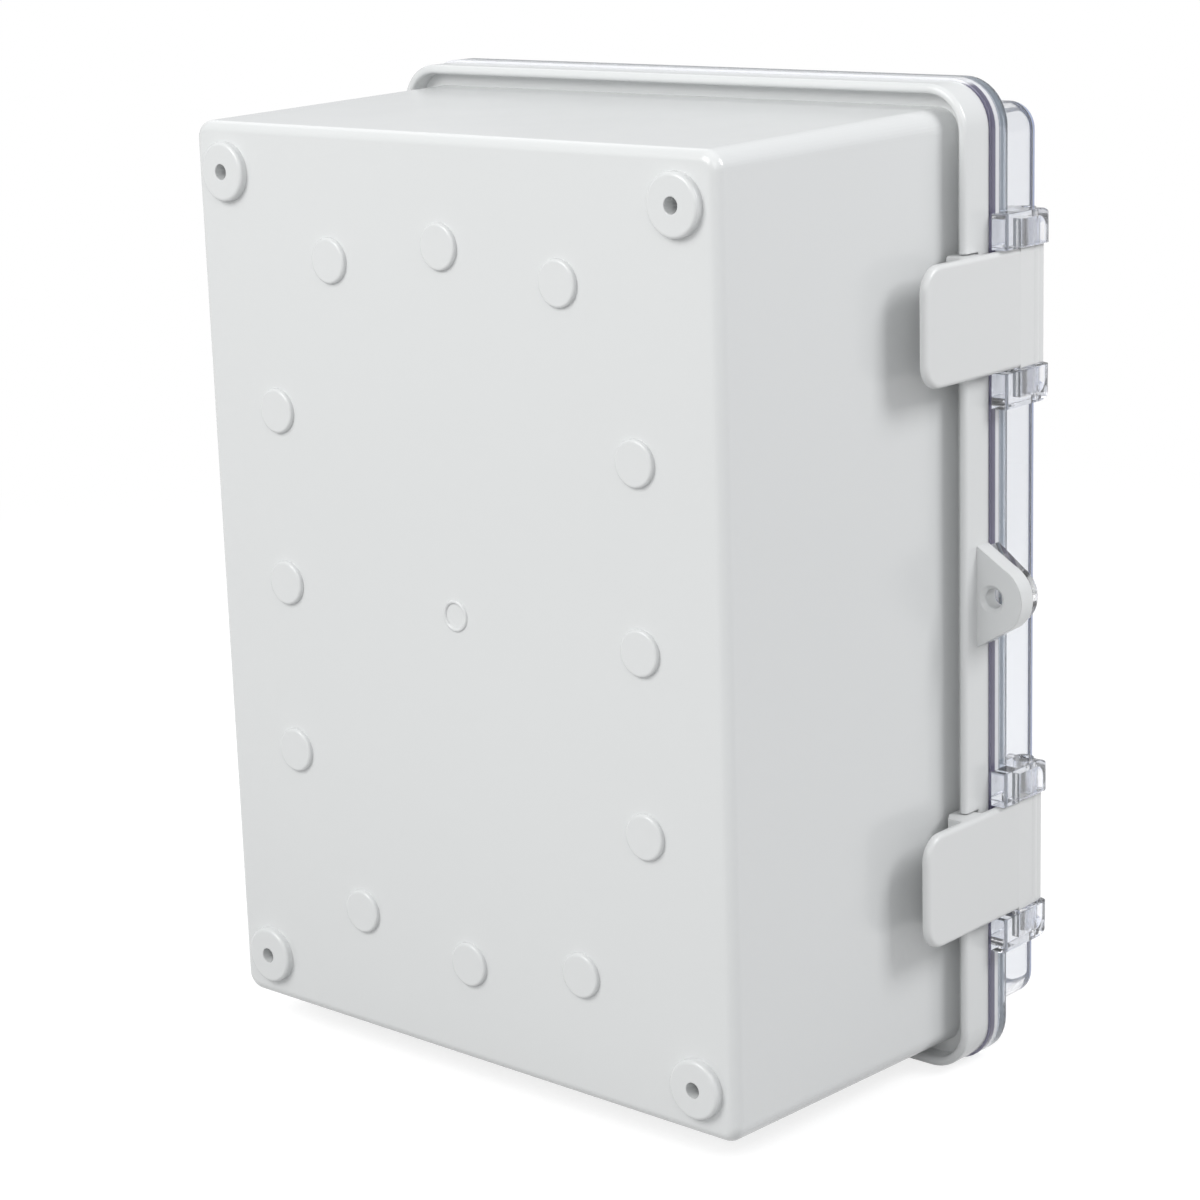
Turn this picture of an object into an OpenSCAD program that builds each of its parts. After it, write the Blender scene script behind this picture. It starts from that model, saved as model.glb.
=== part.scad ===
// Hinged polycarbonate enclosure: moulded base, clear raised lid, two side latches,
// two screwed-on hinge leaves and an inner mounting plate. Millimetres.
//
// The row frame has +Z up, the lid towards -Y and the wall plane at Y = 0. Every module
// below draws in moulding coordinates instead, where X is the width, Y the height and
// Z the distance forward from the wall plane. upright() turns them into the row frame.

/* [Overall] */
// Width across the base flange
flange_w = 300; // [260:5:360]
// Height across the base flange
flange_h = 400; // [380:5:460]
// Depth from the wall plane to the parting face of the base
base_d = 151.5; // [130:0.5:190]
// Depth of the lid in front of the parting face
lid_d = 52.5; // [42:0.5:70]

/* [Base shell] */
// Side wall thickness of the base
wall_t = 3.5; // [2.5:0.5:5]
// Back wall thickness of the base
floor_t = 4; // [3:0.5:6]
// How far each side wall leans out from the back to the flange
body_draft = 2.8; // [2:0.1:6]
// Corner radius of the body at the back
back_corner_r = 7.5; // [6.5:0.5:10]
// Rounding of the edge round the back face
back_edge_r = 4.5; // [2:0.5:6]

/* [Flange] */
// Outer corner radius of the flange
flange_corner_r = 18; // [16:0.5:24]
// Thickness of the flange plate
flange_t = 7; // [5:0.5:9]
// Thickness of the drip lip round the flange
lip_t = 3.8; // [3:0.2:5]
// Depth of the drip lip, from the parting face back to its rounded end
lip_d = 15.5; // [13:0.5:20]
// Width of the gutter between the lip and the body
gutter_w = 5.6; // [5:0.2:8]

/* [Wall mounting] */
// Radius of the four round wall pads
pad_r = 12; // [11:0.5:14]
// How far the wall pads stand out from the back face
pad_h = 3.5; // [2.5:0.5:5]
// Rounding of a wall pad's outer edge
pad_edge_r = 1.5; // [0.5:0.25:2]
// Radius of the blind screw hole in each wall pad
wall_hole_r = 3.2; // [2.5:0.1:4.5]
// Depth of the blind screw hole, from the pad's face
wall_hole_d = 18; // [14:1:22]
// Distance of the wall holes in from each side of the back face
wall_hole_inset_x = 18.8; // [15:0.1:24]
// Distance of the wall holes in from the top and bottom of the back face
wall_hole_inset_z = 19.8; // [15:0.1:26]

/* [Inner bosses] */
// Radius of a boss
boss_r = 7; // [6:0.5:9]
// Height of a boss above the inner floor
boss_h = 14; // [12:1:24]
// Radius of the round mark that a boss leaves on the back face
mark_r = 9.2; // [8:0.1:11]
// How far that mark stands out
mark_h = 2; // [1.3:0.1:2.4]
// Rounding of that mark's outer edge
mark_edge_r = 1.2; // [0.5:0.1:1.3]
// Boss columns: distance in from each side of the back face
column_inset = 41.5; // [36:0.5:46]
// Boss columns: spacing of the bosses
column_pitch = 72; // [66:1:76]
// Boss rows: distance of the outer bosses in from the top or bottom
row_inset = 52; // [48:0.5:54]
// Boss rows: distance of the middle boss in from the top or bottom
row_mid_inset = 42.5; // [36:0.5:46]
// Boss rows: distance of the outer bosses from the centre line
row_half_w = 61; // [50:1:66]
// Outer radius of the round gate ring in the middle of the back face
gate_r = 6.5; // [5:0.5:8]
// How far the gate ring stands out
gate_h = 0.8; // [0.5:0.1:1.2]

/* [Lid] */
// Wall thickness of the clear lid
lid_t = 3; // [2.5:0.25:4]
// How far the lid rim stands proud of the flange
rim_over = 1; // [0.6:0.2:2]
// Depth of the lid rim
rim_d = 11; // [9:0.1:12]
// Gap between the lid rim and the flange
parting_gap = 0.3; // [0.2:0.05:0.6]
// Distance of the raised window in from the rim's outer edge
window_inset = 12; // [11.6:0.2:16]
// Corner radius of the raised window
window_corner_r = 12; // [10:0.5:16]
// Rounding of the window's front edge
window_edge_r = 5; // [3.5:0.5:7]
// How far each window wall leans in from the rim to the front
window_draft = 0.8; // [0.4:0.1:2]

/* [Seal] */
// Width of the gasket groove in the lid rim
groove_w = 6.8; // [6:0.2:8]
// Thickness of the gasket
gasket_t = 2.8; // [2:0.2:3.2]
// Side clearance of the gasket in its groove
gasket_gap = 0.2; // [0.1:0.05:0.4]
// Thickness of the sealing tongue on the base
tongue_t = 3; // [2:0.2:3.6]
// Gap between the tongue and the gasket before the latches pull it in
seal_gap = 0.2; // [0.1:0.05:0.4]

/* [Latch and hinge stations] */
// Distance of each station in from the top or bottom of the flange
station_inset = 88; // [80:1:94]
// Width of the gap between the two lid ears of a station
ear_gap = 48; // [44:1:54]
// Width of one lid ear along its pin
ear_w = 14; // [12:0.5:16]
// Wall of a cored-out lid ear
ear_wall = 3; // [2.4:0.2:3.6]
// Corner radius at the outer end of a latch ear's front
ear_end_r = 8; // [5:0.5:9]
// Radius of the latch and hinge pins
pin_r = 2; // [1.5:0.1:2.4]
// Running clearance of a pin, on the radius
pin_play = 0.05; // [0.02:0.01:0.08]
// Clearance at each end between an ear and the latch or leaf in it
side_play = 0.5; // [0.3:0.1:1]

/* [Latches] */
// Plate thickness of a latch
latch_t = 3; // [2.5:0.25:4]
// Gap between the latch plate and the lid rim
latch_gap = 2; // [1.4:0.1:3]
// Distance of the latch tip behind the parting face
latch_reach = 49.5; // [44:0.5:60]
// Corner radius at the latch tip
latch_tip_r = 10; // [6:1:14]
// Rounding of the latch plate's outer edges
latch_edge_r = 2; // [1:0.25:2.25]
// Distance of the latch pin in front of the parting face
latch_pin_fwd = 25; // [21:0.5:30]
// Distance of the latch's crease in front of the parting face
latch_crease_fwd = 13; // [11:0.5:15]
// Distance of the latch pin in from the latch plate's outer face
latch_pin_in = 6; // [5:0.25:7]
// Length of the hook block from its back to its catch face
hook_l = 15.6; // [13:0.2:19]
// Height of the catch ridge on the back of the flange
catch_h = 1.6; // [1:0.2:2.4]
// Width of the catch ridge
catch_w = 2.4; // [1.6:0.2:3]
// Clearance between the hook and its catch
catch_gap = 0.3; // [0.2:0.05:0.5]

/* [Hinges] */
// Barrel radius of the hinges
barrel_r = 5.5; // [4.5:0.25:6]
// Distance of the hinge axis out from the flange's side
hinge_out = 7.5; // [7.5:0.25:9]
// Distance of the hinge axis in front of the parting face
hinge_fwd = 4; // [3.5:0.25:5]
// Plate thickness of a hinge leaf
leaf_t = 3.5; // [3:0.25:4.5]
// Gap between a leaf and the flange's side
leaf_gap = 0.3; // [0.1:0.05:0.5]
// Thickness of the leaf's foot behind the flange
foot_t = 3.5; // [2.5:0.25:4.5]
// Spacing of the two screws in a leaf
leaf_screw_pitch = 30; // [22:1:34]
// Shank radius of a leaf screw
leaf_screw_r = 1.75; // [1.25:0.25:2]
// Depth that a leaf screw reaches into the flange
leaf_screw_grip = 5.5; // [4:0.5:6]

/* [Padlock ears] */
// Radius of the nose of a padlock ear
lock_r = 14; // [11.5:0.5:16]
// Distance of the padlock hole out from the flange's side
lock_out = 7; // [6.5:0.5:9]
// Radius of the padlock hole
lock_hole_r = 4; // [3:0.25:5]
// Width of the chamfer round the padlock hole
lock_chamfer = 1.7; // [1:0.1:2]
// Half height of the root of a padlock ear
lock_root = 20.5; // [18:0.5:24]
// Thickness of the ear on the base
lock_t = 8; // [7:0.5:10]
// Thickness of the clear ear on the lid
lock_lid_t = 5.2; // [4:0.2:8]

/* [Mounting plate] */
// Gap between the mounting plate's edge and the inner wall
plate_gap = 24; // [22:1:30]
// Thickness of the mounting plate
plate_t = 1.5; // [1.5:0.5:3]
// Corner radius of the mounting plate
plate_corner_r = 10; // [4:1:16]
// Thread radius of the plate screws and the boss inserts
thread_r = 2.5; // [2:0.25:3]
// Wall of a brass insert
insert_wall = 1; // [0.75:0.25:1.5]
// Length of a brass insert
insert_l = 9.5; // [6:0.5:11]
// Thread length that a plate screw reaches into its insert
screw_grip = 8; // [5:0.5:10]

/* [Hidden] */
$fn = 48;
hull_fn = 40;      // facets of the round pieces inside a hull
eps = 0.01;        // thickness of a slice that only gives a hull its outline
cut = 1;           // how far a cutter runs past the face that it cuts
sink = 0.5;        // how far a moulded-on feature runs into the wall that carries it

base_grey = [0.87, 0.88, 0.88];
latch_grey = [0.83, 0.84, 0.84];
lid_clear = [0.86, 0.91, 0.96, 0.4];
steel = [0.72, 0.73, 0.75];
zinc = [0.62, 0.64, 0.66];
brass = [0.80, 0.66, 0.36];
seal_grey = [0.42, 0.43, 0.46];

// Centres of the concentric flange corners
corner_x = flange_w / 2 - flange_corner_r;
corner_y = flange_h / 2 - flange_corner_r;

// Radii round those centres
lip_in_r = flange_corner_r - lip_t;
neck_r = lip_in_r - gutter_w;
mouth_r = neck_r - wall_t;
rim_r = flange_corner_r + rim_over;
groove_out_r = rim_r - lid_t;
groove_in_r = groove_out_r - groove_w;
tongue_mid_r = (groove_out_r + groove_in_r) / 2;

// Half sizes of the body
neck_x = corner_x + neck_r;
neck_y = corner_y + neck_r;
back_x = neck_x - body_draft;
back_y = neck_y - body_draft;
neck_z = base_d - flange_t;
floor_z = pad_h + floor_t;

// Half sizes of the raised window at the rim, and depths of the lid
window_x = corner_x + rim_r - window_inset;
window_y = corner_y + rim_r - window_inset;
rim_z0 = base_d + parting_gap;
rim_z1 = rim_z0 + rim_d;
roof_z = rim_z1 - lid_t;
front_z = base_d + lid_d;
gasket_z = roof_z - gasket_t;
tongue_h = gasket_z - seal_gap - base_d;

// Latch side: distances out from the middle, depths, and height of the stations
side_x = flange_w / 2;
latch_in_x = side_x + rim_over + latch_gap;
latch_out_x = latch_in_x + latch_t;
latch_pin_x = latch_out_x - latch_pin_in;
latch_pin_z = base_d + latch_pin_fwd;
latch_front_z = latch_pin_z + latch_pin_in + 1.5;
crease_z = base_d + latch_crease_fwd;
latch_tip_z = base_d - latch_reach;
station_h = flange_h / 2 - station_inset;
latch_w = ear_gap - 2 * side_play;
ear_out_x = latch_out_x + 1.5;
ear_in_x = latch_pin_x - latch_pin_in - 1.5;
ear_front_z = latch_front_z + 0.3;
notch_h = latch_w + 2 * side_play;

// Hinge side
hinge_x = side_x + hinge_out;
hinge_z = base_d + hinge_fwd;
leaf_x = side_x + leaf_gap;
foot_z = neck_z - foot_t;
leaf_screw_x = (neck_x + side_x) / 2;

// Inner hardware
boss_z = floor_z + boss_h;
insert_r = thread_r + insert_wall;
plate_x = neck_x - wall_t - plate_gap;
plate_y = neck_y - wall_t - plate_gap;
wall_hole_x = back_x - wall_hole_inset_x;
wall_hole_y = back_y - wall_hole_inset_z;
row_y = back_y - row_inset;
plate_points = [for (sx = [-1, 1], sy = [-1, 1]) [sx * row_half_w, sy * row_y]];
boss_points = concat(
    plate_points,
    [for (sy = [-1, 1]) [0, sy * (back_y - row_mid_inset)]],
    [for (sx = [-1, 1], k = [-1:1]) [sx * (back_x - column_inset), k * column_pitch]]);

// Turns moulding coordinates into the row frame.
module upright() {
    rotate([90, 0, 0]) children();
}

// A rectangle with round corners, from its half sizes and corner radius.
module round_rect(x, y, r) {
    square([2 * x, 2 * (y - r)], center = true);
    square([2 * (x - r), 2 * y], center = true);
    for (sx = [-1, 1], sy = [-1, 1])
        translate([sx * (x - r), sy * (y - r)]) circle(r);
}

// Sweeps a profile round the flange corners. The profile's X is the distance from the
// corner centre and its Y the depth.
module sweep() {
    for (turn = [0, 90, 180, 270]) {
        along = turn % 180 == 0 ? corner_x : corner_y;
        across = turn % 180 == 0 ? corner_y : corner_x;
        rotate(turn) {
            translate([along, across, 0]) rotate_extrude(angle = 90) children();
            translate([along, 0, 0]) rotate([90, 0, 0])
                linear_extrude(2 * across, center = true) children();
        }
    }
}

// Extrudes a section, drawn as distance out and depth, along the height.
module along_height(length) {
    rotate([90, 0, 0]) linear_extrude(length, center = true) children();
}

// Runs its children at the upper (+1) or lower (-1) station.
module station(side) {
    translate([0, side * station_h, 0]) children();
}

// Solid block from the back face to a slice at depth z, with rounded back edges.
module tapered_block(x0, y0, z0, corner_r, edge_r, x1, y1, z1, top_r) {
    hull() {
        for (sx = [-1, 1], sy = [-1, 1])
            translate([sx * (x0 - corner_r), sy * (y0 - corner_r), z0 + edge_r])
                rotate_extrude($fn = hull_fn) intersection() {
                    translate([corner_r - edge_r, 0]) circle(edge_r, $fn = hull_fn);
                    translate([0, -edge_r]) square([corner_r, 2 * edge_r]);
                }
        translate([0, 0, z1 - eps]) linear_extrude(eps) round_rect(x1, y1, top_r, $fn = hull_fn);
    }
}

// Outline of a padlock ear beside a flat side: a round nose, and straight edges from a
// wide root that dip just inside the nose, so that they cross it cleanly.
module lock_outline(r, out, root) {
    reach = norm([out, root]);
    dip_r = r - 0.15;
    slope = asin(dip_r / reach) - atan2(root, out);
    run = sqrt(reach * reach - dip_r * dip_r);
    tip = [run * cos(slope), root + run * sin(slope)];
    intersection() {
        translate([out, 0]) circle(r);
        translate([-sink, -root]) square([out + r + 2 * sink, 2 * root]);
    }
    polygon([[-sink, -root], [0, -root], [tip[0], -tip[1]], tip, [0, root], [-sink, root]]);
}

// Flange section: plate, drip lip with a round end, and sealing tongue.
module flange_section() {
    bead_z = base_d - lip_d + lip_t / 2;
    translate([mouth_r, neck_z]) square([flange_corner_r - mouth_r, flange_t]);
    translate([lip_in_r, bead_z]) square([lip_t, base_d - bead_z]);
    translate([lip_in_r + lip_t / 2, bead_z]) circle(lip_t / 2);
    translate([tongue_mid_r - tongue_t / 2, base_d - sink]) square([tongue_t, tongue_h + sink]);
}

module base() {
    color(base_grey) upright() difference() {
        union() {
            difference() {
                tapered_block(back_x, back_y, pad_h, back_corner_r, back_edge_r,
                    neck_x, neck_y, neck_z + sink, neck_r);
                base_cavity();
            }
            sweep() flange_section();
            for (sx = [-1, 1], sy = [-1, 1]) translate([sx * wall_hole_x, sy * wall_hole_y, 0]) {
                back_pad(pad_r, pad_h, pad_edge_r);
                translate([0, 0, floor_z - sink]) cylinder(h = wall_hole_d - floor_z + sink + floor_t, r = pad_r - 3);
            }
            for (p = boss_points) translate([p[0], p[1], 0]) {
                back_pad(mark_r, mark_h, mark_edge_r);
                translate([0, 0, floor_z - sink]) cylinder(h = boss_h + sink, r = boss_r);
            }
            translate([0, 0, pad_h]) rotate_extrude() translate([gate_r - gate_h, 0]) circle(gate_h);
            for (side = [-1, 1]) station(side) catch_ridge();
            translate([-side_x, 0, base_d - lock_t]) mirror([1, 0, 0])
                linear_extrude(lock_t) lock_outline(lock_r, lock_out, lock_root);
        }
        for (sx = [-1, 1], sy = [-1, 1])
            translate([sx * wall_hole_x, sy * wall_hole_y, -cut]) cylinder(h = wall_hole_d + cut, r = wall_hole_r);
        for (p = boss_points)
            translate([p[0], p[1], boss_z - insert_l]) cylinder(h = insert_l + cut, r = insert_r);
        for (sx = [-1, 1], side = [-1, 1]) translate([sx * side_x, 0, 0]) station(side) lip_notch();
        for (side = [-1, 1]) station(side) leaf_screw_places()
            translate([0, 0, -cut]) cylinder(h = leaf_screw_grip + cut, r = leaf_screw_r);
        translate([-hole_x(), 0, base_d - lock_t]) {
            translate([0, 0, -cut]) cylinder(h = lock_t + 2 * cut, r = lock_hole_r);
            translate([0, 0, -eps]) cylinder(h = lock_chamfer + eps, r1 = lock_hole_r + lock_chamfer, r2 = lock_hole_r);
        }
    }
}

// Distance of the padlock hole out from the middle.
function hole_x() = side_x + lock_out;

// The hollow of the base, open at the parting face.
module base_cavity() {
    hull() {
        translate([0, 0, floor_z]) linear_extrude(eps)
            round_rect(back_x - wall_t, back_y - wall_t, back_corner_r - wall_t, $fn = hull_fn);
        translate([0, 0, neck_z]) linear_extrude(flange_t)
            round_rect(neck_x - wall_t, neck_y - wall_t, mouth_r, $fn = hull_fn);
    }
}

// Round pad that stands out from the back face, with a rounded outer edge.
module back_pad(r, h, edge_r) {
    translate([0, 0, pad_h - h]) rotate_extrude() {
        square([r - edge_r, h + sink]);
        translate([0, edge_r]) square([r, h + sink - edge_r]);
        translate([r - edge_r, edge_r]) circle(edge_r);
    }
}

// Break in the drip lip for a latch hook or a hinge leaf.
module lip_notch() {
    translate([-lip_t - cut, -notch_h / 2, base_d - lip_d - cut])
        cube([2 * (lip_t + cut), notch_h, lip_d - flange_t + cut]);
}

// Ridge on the back of the flange that a latch hook snaps over.
module catch_ridge() {
    translate([-side_x + sink, -latch_w / 2, neck_z - catch_h]) cube([catch_w, latch_w, catch_h + sink]);
}

// Puts its children on the leaf screws' axes, at the back of the flange.
module leaf_screw_places() {
    for (s = [-1, 1]) translate([leaf_screw_x, s * leaf_screw_pitch / 2, neck_z]) children();
}

// Rim section of the lid: skirt, roof over the gasket and inner rib.
module rim_section() {
    rib_t = lid_t;
    translate([groove_out_r, rim_z0]) square([lid_t, rim_d]);
    translate([groove_in_r - rib_t, rim_z0]) square([rib_t, rim_d]);
    translate([groove_in_r - rib_t, roof_z]) square([rim_r - groove_in_r + rib_t, lid_t]);
}

module lid() {
    color(lid_clear) upright() difference() {
        union() {
            difference() {
                union() {
                    sweep() rim_section();
                    translate([0, 0, roof_z]) linear_extrude(lid_t)
                        round_rect(corner_x + groove_in_r, corner_y + groove_in_r, groove_in_r);
                    window_block(0);
                }
                window_block(lid_t);
            }
            for (side = [-1, 1]) station(side) {
                for (flip = [0, 1]) mirror([0, flip, 0]) translate([0, (ear_gap + ear_w) / 2, 0]) {
                    latch_ear();
                    along_height(ear_w) hinge_ear_section();
                }
            }
            translate([-side_x - rim_over, 0, rim_z0]) mirror([1, 0, 0])
                linear_extrude(lock_lid_t) lock_outline(lock_r - 1.5, lock_out - rim_over, lock_root - 0.5);
        }
        for (side = [-1, 1]) station(side) {
            translate([-latch_pin_x, 0, latch_pin_z]) pin_bore();
            translate([hinge_x, 0, hinge_z]) pin_bore();
        }
        translate([-hole_x(), 0, rim_z0 - cut]) cylinder(h = lock_lid_t + 2 * cut, r = lock_hole_r);
    }
}

// The raised window as a solid, shrunk by inset on every side to give its hollow.
module window_block(inset) {
    z0 = inset > 0 ? roof_z - cut : roof_z;
    front_r = window_corner_r - window_draft - inset;
    edge_r = window_edge_r - inset;
    mirror([0, 0, 1]) translate([0, 0, -front_z + inset])
        tapered_block(window_x - window_draft - inset, window_y - window_draft - inset, 0, front_r, edge_r,
            window_x - inset, window_y - inset, front_z - inset - z0, window_corner_r - inset);
}

// Through bore for a pin, as long as both ears.
module pin_bore() {
    rotate([90, 0, 0]) cylinder(h = ear_gap + 2 * ear_w + 2 * cut, r = pin_r, center = true);
}

// Clear ear for the latch pin: a block cored out from the latch's side, with a pin boss.
module latch_ear() {
    difference() {
        intersection() {
            along_height(ear_w) ear_outline();
            across_width() ear_side(0);
        }
        intersection() {
            translate([0, -ear_wall, 0]) along_height(ear_w) ear_pocket();
            across_width() ear_side(ear_wall);
        }
    }
    translate([-latch_pin_x, 0, latch_pin_z]) rotate([90, 0, 0]) cylinder(h = ear_w, r = pin_r + 2.2, center = true);
}

// Extrudes an outline, drawn as height and depth, across the width of a latch ear.
module across_width() {
    translate([-ear_out_x - cut, 0, 0]) rotate([90, 0, 90])
        linear_extrude(ear_out_x - ear_in_x + 2 * cut) children();
}

// Side view of a latch ear, shrunk by inset: the outer end of its front is round.
module ear_side(inset) {
    end_y = ear_w / 2 - inset;
    end_z = ear_front_z - inset;
    r = ear_end_r - inset;
    from_y = -ear_w - cut;
    from_z = rim_z0 - cut;
    translate([from_y, from_z]) square([end_y - r - from_y, end_z - from_z]);
    translate([from_y, from_z]) square([end_y - from_y, end_z - r - from_z]);
    translate([end_y - r, end_z - r]) circle(r);
}

// Outline of a latch ear: a foot on the rim's skirt and a block in front of the rim.
module ear_outline() {
    round_r = 4;
    foot_in_x = corner_x + groove_out_r;
    difference() {
        translate([-ear_out_x, rim_z0]) square([ear_out_x - foot_in_x, ear_front_z - rim_z0]);
        translate([-ear_out_x, ear_front_z - round_r]) square(round_r);
    }
    translate([-foot_in_x - sink, roof_z]) square([foot_in_x - ear_in_x + sink, ear_front_z - roof_z]);
    translate([-ear_out_x + round_r, ear_front_z - round_r]) circle(round_r);
}

// The core of a latch ear.
module ear_pocket() {
    translate([-ear_out_x + ear_wall, rim_z1 + ear_wall / 2])
        square([ear_out_x - ear_in_x - 2 * ear_wall, ear_front_z - rim_z1 - 1.5 * ear_wall]);
}

// Section of a hinge ear: the barrel and its web to the rim.
module hinge_ear_section() {
    root_x = corner_x + groove_out_r + sink;
    translate([hinge_x, hinge_z]) circle(barrel_r);
    polygon([
        [root_x, rim_z0],
        [side_x + rim_over + 1, rim_z0],
        [hinge_x, hinge_z - barrel_r],
        [hinge_x, hinge_z + barrel_r],
        [root_x, hinge_z + barrel_r]]);
}

module lid_gasket() {
    color(seal_grey) upright() sweep()
        translate([groove_in_r + gasket_gap, gasket_z]) square([groove_w - 2 * gasket_gap, gasket_t]);
}

// Front end of a latch: the nose round the pin, drawn as distance out and depth.
module latch_nose_section() {
    round_r = 2.5;
    lean = 1.4;
    nose_x = latch_pin_x - latch_pin_in + 0.5;
    shoulder_x = -latch_out_x + lean * (latch_front_z - round_r - crease_z) / (latch_front_z - crease_z);
    translate([-latch_pin_x, latch_pin_z]) circle(latch_pin_in - 0.5);
    difference() {
        polygon([
            [-latch_out_x, crease_z],
            [-latch_out_x + lean, latch_front_z],
            [-nose_x, latch_front_z],
            [-nose_x, latch_pin_z],
            [-latch_in_x, crease_z],
            [-latch_in_x, crease_z - sink],
            [-latch_out_x + latch_edge_r, crease_z - sink],
            [-latch_out_x + latch_edge_r, crease_z]]);
        translate([-latch_out_x, latch_front_z - round_r])
            square([shoulder_x + round_r + latch_out_x, round_r + eps]);
        translate([-nose_x - round_r, latch_front_z - round_r]) square(round_r + eps);
    }
    translate([shoulder_x + round_r, latch_front_z - round_r]) circle(round_r);
    translate([-nose_x - round_r, latch_front_z - round_r]) circle(round_r);
}

// Hook block of a latch: it passes behind the catch ridge and ends in a raised nose.
module latch_hook_section() {
    catch_z = neck_z - catch_gap;
    nose_out_x = side_x - sink - catch_w - catch_gap;
    nose_in_x = neck_x + (gutter_w + lip_t - sink - catch_w - catch_gap) * 0.45;
    polygon([
        [-latch_in_x - sink, catch_z - hook_l],
        [-latch_in_x - sink, catch_z - catch_h - catch_gap],
        [-nose_out_x, catch_z - catch_h - catch_gap],
        [-nose_out_x, catch_z],
        [-nose_in_x, catch_z],
        [-nose_in_x, catch_z - hook_l + 5],
        [-nose_in_x - 3, catch_z - hook_l]]);
}

// Flat lever plate of a latch, with a round tip and rounded outer edges.
module latch_plate() {
    half_w = latch_w / 2;
    hull() {
        for (s = [-1, 1]) translate([-latch_out_x + latch_edge_r, s * (half_w - latch_tip_r), latch_tip_z + latch_tip_r])
            rotate([0, 90, 0]) {
                rotate_extrude($fn = hull_fn) translate([latch_tip_r - latch_edge_r, 0]) circle(latch_edge_r, $fn = hull_fn);
                cylinder(h = latch_t - latch_edge_r, r = latch_tip_r, $fn = hull_fn);
            }
        translate([0, 0, crease_z - eps]) linear_extrude(eps) {
            translate([-latch_in_x - eps, -half_w]) square([eps, 2 * half_w]);
            for (s = [-1, 1]) translate([-latch_out_x + latch_edge_r, s * (half_w - latch_edge_r)])
                circle(latch_edge_r, $fn = hull_fn);
        }
    }
}

module latch() {
    color(latch_grey) upright() difference() {
        union() {
            latch_plate();
            along_height(latch_w) latch_nose_section();
            along_height(latch_w) latch_hook_section();
        }
        translate([-latch_pin_x, 0, latch_pin_z]) rotate([90, 0, 0])
            cylinder(h = latch_w + 2 * cut, r = pin_r + pin_play, center = true);
    }
}

// Steel pin through both ears of a station, 1 mm short of their outer faces.
module pin(x, z, side) {
    color(steel) upright() translate([x, side * station_h, z]) rotate([90, 0, 0])
        cylinder(h = ear_gap + 2 * ear_w - 2, r = pin_r, center = true);
}

// Section of a hinge leaf: foot behind the flange, plate beside it, web and barrel.
module leaf_section() {
    web_x = side_x + rim_over + leaf_gap;
    foot_in_x = neck_x + 1;
    plate_out_x = leaf_x + leaf_t;
    translate([hinge_x, hinge_z]) circle(barrel_r);
    polygon([
        [foot_in_x, foot_z],
        [plate_out_x - 1, foot_z],
        [plate_out_x, foot_z + 1],
        [plate_out_x, neck_z],
        [hinge_x + barrel_r * 0.7, hinge_z - barrel_r * 0.6],
        [hinge_x, hinge_z],
        [web_x, hinge_z],
        [web_x, base_d - 1],
        [leaf_x, base_d - 1],
        [leaf_x, neck_z],
        [foot_in_x, neck_z]]);
}

module hinge_leaf() {
    color(latch_grey) upright() difference() {
        along_height(latch_w) leaf_section();
        translate([hinge_x, 0, hinge_z]) rotate([90, 0, 0])
            cylinder(h = latch_w + 2 * cut, r = pin_r + pin_play, center = true);
        leaf_screw_places() translate([0, 0, -foot_t - cut])
            cylinder(h = foot_t + 2 * cut, r = leaf_screw_r + 0.15);
    }
}

// One pan-head screw with its head's underside at Z = 0 and its shank below.
module pan_screw(r, length) {
    head_r = 1.9 * r;
    head_h = 1.2 * r;
    slot_r = 0.8 * r;
    translate([0, 0, -length]) cylinder(h = length + eps, r = r);
    difference() {
        intersection() {
            cylinder(h = head_h, r = head_r);
            translate([0, 0, head_h - 2 * head_r]) sphere(2 * head_r);
        }
        for (turn = [0, 90]) rotate(turn)
            translate([-slot_r, -0.14 * r, head_h / 2]) cube([2 * slot_r, 0.28 * r, head_h]);
    }
}

module hinge_screws() {
    color(zinc) upright() for (side = [-1, 1]) station(side) leaf_screw_places()
        translate([0, 0, -foot_t]) mirror([0, 0, 1])
            pan_screw(leaf_screw_r - 0.02, leaf_screw_grip - 0.5 + foot_t);
}

module mounting_plate() {
    color(zinc) upright() translate([0, 0, boss_z]) difference() {
        linear_extrude(plate_t) round_rect(plate_x, plate_y, plate_corner_r);
        for (p = plate_points) translate([p[0], p[1], -cut]) cylinder(h = plate_t + 2 * cut, r = thread_r + 0.25);
    }
}

module plate_screws() {
    color(steel) upright() for (p = plate_points) translate([p[0], p[1], boss_z + plate_t])
        pan_screw(thread_r - 0.02, plate_t + screw_grip);
}

module boss_inserts() {
    color(brass) upright() for (p = boss_points) translate([p[0], p[1], boss_z - insert_l]) difference() {
        cylinder(h = insert_l, r = insert_r);
        translate([0, 0, -cut]) cylinder(h = insert_l + 2 * cut, r = thread_r);
    }
}

module at_station(side) {
    translate([0, 0, side * station_h]) children();
}

module latch_upper() {
    at_station(1) latch();
}

module latch_lower() {
    at_station(-1) latch();
}

module latch_pin_upper() {
    pin(-latch_pin_x, latch_pin_z, 1);
}

module latch_pin_lower() {
    pin(-latch_pin_x, latch_pin_z, -1);
}

module hinge_leaf_upper() {
    at_station(1) hinge_leaf();
}

module hinge_leaf_lower() {
    at_station(-1) hinge_leaf();
}

module hinge_pin_upper() {
    pin(hinge_x, hinge_z, 1);
}

module hinge_pin_lower() {
    pin(hinge_x, hinge_z, -1);
}

base();
lid();
lid_gasket();
latch_upper();
latch_lower();
latch_pin_upper();
latch_pin_lower();
hinge_leaf_upper();
hinge_leaf_lower();
hinge_pin_upper();
hinge_pin_lower();
hinge_screws();
mounting_plate();
plate_screws();
boss_inserts();
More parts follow.
